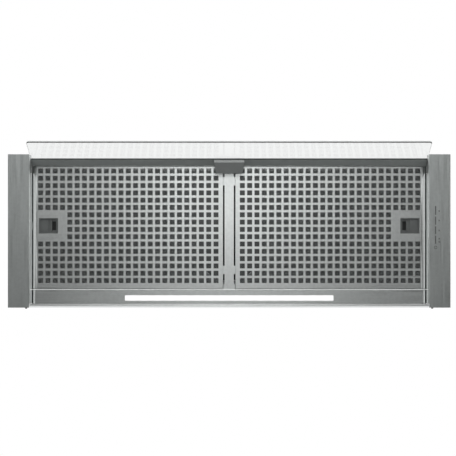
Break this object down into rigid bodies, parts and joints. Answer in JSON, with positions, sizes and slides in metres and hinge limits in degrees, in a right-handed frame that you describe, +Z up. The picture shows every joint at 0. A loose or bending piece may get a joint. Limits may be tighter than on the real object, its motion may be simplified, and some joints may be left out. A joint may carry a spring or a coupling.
{
  "type": "range hood insert",
  "caption": "Stainless range hood insert seen from below: perforated grease filters with slide latches, a long light bar, side flanges and a tilting glass visor on a fan housing.",
  "frame": {"origin": "middle of the seat plane: the upper faces of the two side flanges", "axes": "+X to the user's right along the width, -Y towards the user, +Z up to the duct"},
  "size_m": [0.898, 0.3347, 0.376],
  "materials": {
    "brushed_body": "brushed along its length",
    "brushed_filter": "brushed",
    "mesh": "expanded metal, matt",
    "latch_plastic": "fine texture",
    "visor_trim": "dark satin",
    "visor_glass": "clear",
    "visor_ear": "satin",
    "bright_steel": "bright",
    "galvanised": "zinc coated",
    "scroll_plastic": "moulded",
    "wheel": "satin",
    "laminations": "stacked",
    "motor_can": "satin",
    "bearing_bronze": "sintered",
    "black_plastic": "moulded",
    "white_plastic": "moulded",
    "board": "coated",
    "opal": "translucent",
    "stop_rubber": "matt"
  },
  "bodies": {
    "body": {"flange_left": "brushed_body", "flange_right": "brushed_body", "visor_ear_left": "visor_ear", "visor_ear_right": "visor_ear", "scroll_left": "scroll_plastic", "scroll_right": "scroll_plastic", "housing_lower": "galvanised", "fan_box": "galvanised", "fan_box_foot": "galvanised", "collar_plate": "galvanised", "front_rail": "brushed_body", "cross_rail": "brushed_body", "rear_rail": "brushed_body", "centre_mullion": "brushed_body", "rear_stops": "stop_rubber", "light_panel": "brushed_body", "light_diffuser": "opal", "led_board": "board", "led_driver": "white_plastic", "control_module": "black_plastic", "motor_stator": "laminations", "motor_can": "motor_can", "motor_bushes": "bearing_bronze", "motor_bracket": "galvanised", "duct_collar": "galvanised", "damper_pins": "bright_steel", "terminal_box": "black_plastic", "terminal_cover": "black_plastic", "cable_gland": "black_plastic", "capacitor": "white_plastic", "visor_pins": "bright_steel", "housing_screws": "bright_steel", "collar_screws": "bright_steel"},
    "visor": {"visor_holder": "visor_trim", "visor_glass": "visor_glass", "visor_handle": "visor_trim", "visor_cap_left": "visor_trim", "visor_cap_right": "visor_trim"},
    "filter_left": {"filter_frame_left": "brushed_filter", "filter_face_left": "brushed_filter", "filter_mesh_left": "mesh", "latch_housing_left": "latch_plastic"},
    "filter_right": {"filter_frame_right": "brushed_filter", "filter_face_right": "brushed_filter", "filter_mesh_right": "mesh", "latch_housing_right": "latch_plastic"},
    "latch_left": {"latch_bolt_left": "latch_plastic"},
    "latch_right": {"latch_bolt_right": "latch_plastic"},
    "impeller": {"impeller_disc": "wheel", "impeller_rings": "wheel", "impeller_blades": "wheel", "impeller_hub": "wheel", "motor_shaft": "bright_steel", "motor_rotor": "laminations"},
    "damper_front": {"damper_flap_front": "black_plastic"},
    "damper_rear": {"damper_flap_rear": "black_plastic"}
  },
  "joints": [
    {"name": "visor_tilt", "type": "hinge", "parent": "body", "child": "visor", "pos_m": [0, -0.1371, -0.0085], "axis": [-1, 0, 0], "range_deg": [-26, 28]},
    {"name": "filter_left_swing", "type": "hinge", "parent": "body", "child": "filter_left", "pos_m": [-0.0094, 0, 0.0002], "axis": [0, -1, 0], "range_deg": [0, 28]},
    {"name": "filter_right_swing", "type": "hinge", "parent": "body", "child": "filter_right", "pos_m": [0.0094, 0, 0.0002], "axis": [0, 1, 0], "range_deg": [0, 28]},
    {"name": "latch_left_slide", "type": "slide", "parent": "filter_left", "child": "latch_left", "axis": [-1, 0, 0], "range_m": [0, 0.0045]},
    {"name": "latch_right_slide", "type": "slide", "parent": "filter_right", "child": "latch_right", "axis": [1, 0, 0], "range_m": [0, 0.0045]},
    {"name": "impeller_spin", "type": "hinge", "parent": "body", "child": "impeller", "pos_m": [0, -0.022, 0.158], "axis": [1, 0, 0], "continuous": true},
    {"name": "damper_front_swing", "type": "hinge", "parent": "body", "child": "damper_front", "pos_m": [0, 0.035, 0.262], "axis": [-1, 0, 0], "range_deg": [0, 80]},
    {"name": "damper_rear_swing", "type": "hinge", "parent": "body", "child": "damper_rear", "pos_m": [0, 0.043, 0.262], "axis": [1, 0, 0], "range_deg": [0, 80]}
  ]
}
